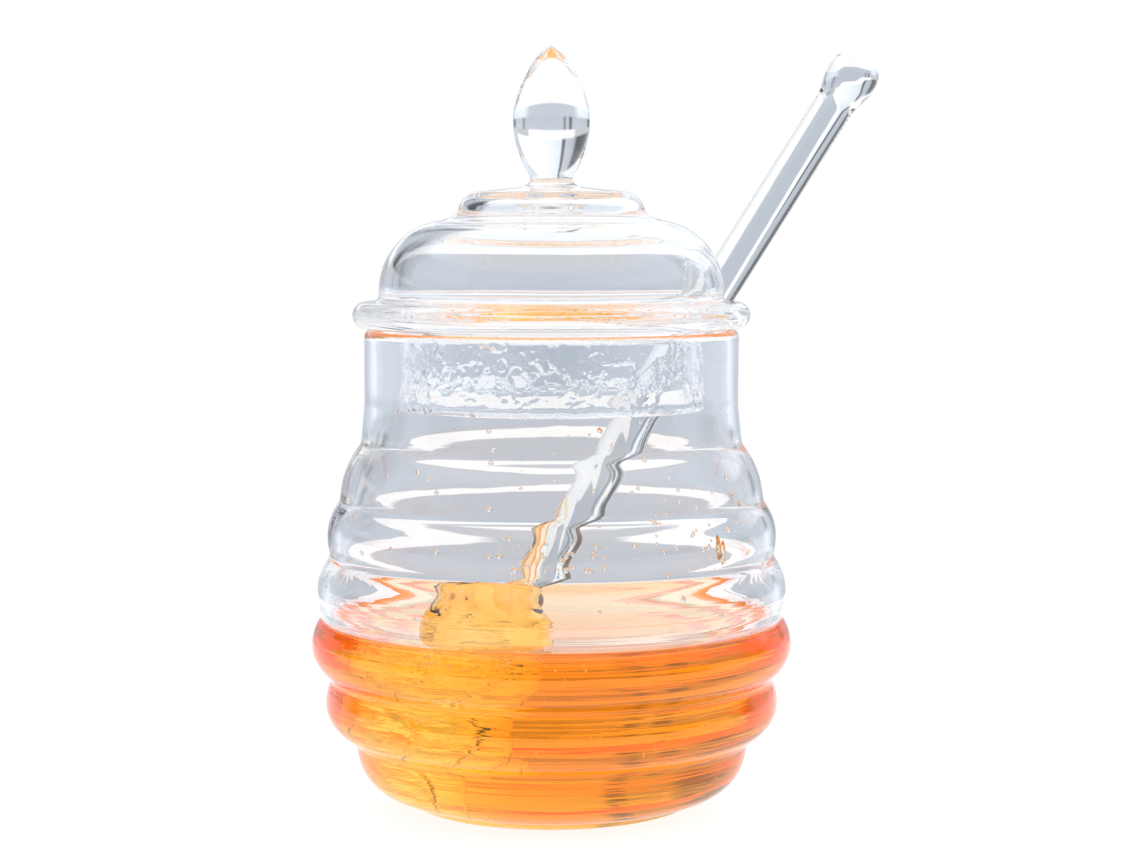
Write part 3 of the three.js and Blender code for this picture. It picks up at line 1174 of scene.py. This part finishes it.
LOW = Band(-0.165, 0.02, (0.60, 0.645, 0.71), (
    (-180.0, 0.5), (-120.0, 1.5), (-34.0, 1.6), (-24.0, 1.0), (24.0, 1.0), (34.0, 1.6),
    (120.0, 1.5), (180.0, 0.5),
))
BACKDROP = Band(-0.03, 0.03, (0.60, 0.645, 0.71), (
    (-180.0, 0.5), (-126.0, 0.8), (-122.0, 0.22), (-104.0, 0.22), (-98.0, 1.0), (-82.0, 1.0),
    (-76.0, 0.15), (-60.0, 0.15), (-54.0, 1.0), (-22.0, 1.0), (-21.0, 0.35), (-18.0, 0.35),
    (-17.0, 1.0), (-14.5, 1.0), (-13.5, 0.4), (-12.0, 0.4), (-11.0, 1.0), (30.0, 1.0),
    (32.0, 0.6), (35.0, 0.6), (38.0, 1.1), (56.0, 1.1), (61.0, 0.2), (72.0, 0.2), (82.0, 1.0),
    (98.0, 1.0), (104.0, 0.22), (122.0, 0.22), (126.0, 0.8), (180.0, 0.5),
))
STRIP = Band(0.12, 0.02, (1.0, 1.0, 1.0), (
    (-180.0, 0.5), (-90.0, 0.6), (-28.0, 0.62), (-24.0, 1.2), (24.0, 1.2), (28.0, 0.62),
    (90.0, 0.6), (180.0, 0.5),
))
UPPER = Band(0.19, 0.03, (0.66, 0.71, 0.78), (
    (-180.0, 0.5), (-126.0, 0.8), (-110.0, 1.3), (-74.0, 0.9), (-64.0, 0.1), (-32.0, 0.1),
    (-26.0, 0.8), (-15.0, 0.9), (-14.0, 0.2), (-11.5, 0.2), (-10.5, 1.3), (8.0, 1.6), (14.0, 1.9),
    (52.0, 1.9), (58.0, 0.9), (70.0, 0.9), (80.0, 1.5), (120.0, 1.3), (180.0, 0.5),
))
CEILING = Band(0.55, 0.12, (1.0, 1.0, 1.0), ((0.0, 1.25), (180.0, 1.25)))


@dataclass(frozen=True)
class Studio:
    """The white surround, the floor and the camera of the photograph."""

    distance: float = 490.0
    eye: float = 110.9
    focal_pixels: float = 2602.0
    frame_width: float = 1140.0
    frame_height: float = 855.0
    axis_pixel: float = 551.5
    horizon_pixel: float = 218.0
    sensor: float = 36.0
    floor_radius: float = 310.0
    floor_top: float = -0.05
    floor_bottom: float = -2.0
    floor_white: Colour = (0.25, 0.25, 0.25)
    floor_grain: Colour = (0.26, 0.26, 0.265)
    floor_glow: float = 0.85
    under_light: Colour = (1.15, 1.15, 1.15)
    bands: tuple[Band, ...] = (LOW, BACKDROP, STRIP, UPPER, CEILING)
    bounces: int = 56

    def camera(self) -> None:
        """Puts the camera where the photograph was taken from, aimed as it was."""
        data = bpy.data.cameras.new("camera")
        data.sensor_width = self.sensor
        data.lens = self.focal_pixels / self.frame_width * self.sensor
        data.clip_start = 0.01
        camera = bpy.data.objects.new("camera", data)
        bpy.context.scene.collection.objects.link(camera)
        aside = (self.frame_width / 2.0 - self.axis_pixel) / self.focal_pixels
        down = (self.frame_height / 2.0 - self.horizon_pixel) / self.focal_pixels
        camera.location = (0.0, -self.distance * METRES, self.eye * METRES)
        camera.rotation_euler = (np.pi / 2.0 - np.arctan(down), 0.0, -np.arctan(aside))
        bpy.context.scene.camera = camera

    def floor(self) -> None:
        """Lays the pale floor: a disc whose edge is out of the pot's sight."""
        radii = (0.0, self.floor_radius, self.floor_radius, 0.0)
        heights = (self.floor_top, self.floor_top, self.floor_bottom, self.floor_bottom)
        floor = Surface.turned(np.column_stack([radii, heights]), 96).piece("studio_floor")
        graph, material = ShaderGraph.for_material("pale_floor")
        graph.close(graph.principled({
            "Base Color": graph.blend(graph.noise(40.0, 2.0), self.floor_white, self.floor_grain),
            "Roughness": 0.7,
            "Emission Color": grey(1.0),
            "Emission Strength": self.floor_glow,
        }))
        floor.data.materials.append(material)

    def surround(self) -> None:
        """Lights the pot from all round: white to look at, with a cool grey backdrop in the glass.

        The glass sees bands, one above the other, each with its own softboxes and dark flags
        round the pot. Each band takes over from the one below where the direction's height passes
        the band's start.
        """
        world = bpy.data.worlds.new("studio")
        world.use_nodes = True
        bpy.context.scene.world = world
        graph = ShaderGraph(world.node_tree)
        direction = graph.node("ShaderNodeTexCoord", output="Generated")
        along, across, up = (
            graph.node("ShaderNodeSeparateXYZ", {}, {"Vector": direction}, output=axis) for axis in "YXZ"
        )
        turn = graph.node("ShaderNodeMath", {"operation": "ARCTAN2"}, {0: across, 1: along})
        share = turn * (0.5 / np.pi) + 0.5
        seen: Wire | Colour = self.under_light
        for band in self.bands:
            ramp = graph.node("ShaderNodeValToRGB", {"stops": band.stops()}, {"Fac": share})
            taken = ((up - band.start) * (1.0 / band.fade)).clipped()
            seen = graph.blend(taken, seen, ramp)
        bright, plain = (
            graph.node("ShaderNodeBackground", {}, {"Color": light, "Strength": 1.0})
            for light in (seen, grey(1.0))
        )
        straight = graph.node("ShaderNodeLightPath", output="Is Camera Ray")
        both = graph.node("ShaderNodeMixShader", {}, {0: straight, 1: bright, 2: plain})
        graph.node("ShaderNodeOutputWorld", {}, {"Surface": both})

    def develop(self) -> None:
        """Sets how the picture is developed and how far light is followed through the glass."""
        scene = bpy.context.scene
        scene.view_settings.view_transform = "Standard"
        scene.view_settings.look = "None"
        cycles = scene.cycles
        cycles.max_bounces = self.bounces
        cycles.transmission_bounces = self.bounces
        cycles.glossy_bounces = self.bounces
        cycles.diffuse_bounces = 3
        cycles.transparent_max_bounces = 8
        cycles.caustics_reflective = True
        cycles.caustics_refractive = True
        cycles.blur_glossy = 0.3


# Where drops hang above the honey, where it has smeared the wall, and where its bubbles are
DROPS = (
    Patch(45, 0.0, 14.0, 52.5, 3.0), Patch(60, 42.0, 22.0, 56.0, 8.0), Patch(150, 0.0, 180.0, 60.0, 20.0),
)
SMEARS = (Patch(3, 47.0, 1.2, 51.5, 1.6),)
BUBBLES = (
    Patch(60, -22.0, 30.0, 33.0, 0.9), Patch(50, 0.0, 180.0, 32.8, 1.0), Patch(40, 0.0, 80.0, 24.0, 8.0),
)


def main() -> None:
    """Builds the studio and the pot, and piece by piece."""
    logging.basicConfig(level=logging.INFO, format="%(message)s")
    studio = Studio()
    studio.camera()
    studio.floor()
    studio.surround()
    studio.develop()
    jar = Jar()
    dipper = Dipper()
    honey = HoneyFill(jar, dipper)
    jar.build(honey)
    honey.build()
    Lid().build()
    dipper.build(honey)
    drops = Specks(jar, "wall_drops", 31, DROPS, (0.14, 0.6))
    drops.build(ClearGlass("clear_drop", refraction=1.34), "jar_glass")
    smear = Specks(jar, "honey_smear", 6, SMEARS, (0.5, 0.9), stretch=3.2)
    smear.build(AmberHoney("smeared_honey", painted_glow=(0.0, 0.0, 0.0), density=400.0), "honey")
    bubbles = Specks(jar, "honey_bubbles", 17, BUBBLES, (0.1, 0.34), BALL, stand_off=0.6)
    bubbles.build(PlainSkin("air_in_honey", Bending.BARE, 1.0 / HONEY_INDEX), "honey")


if __name__ == "__main__":
    main()
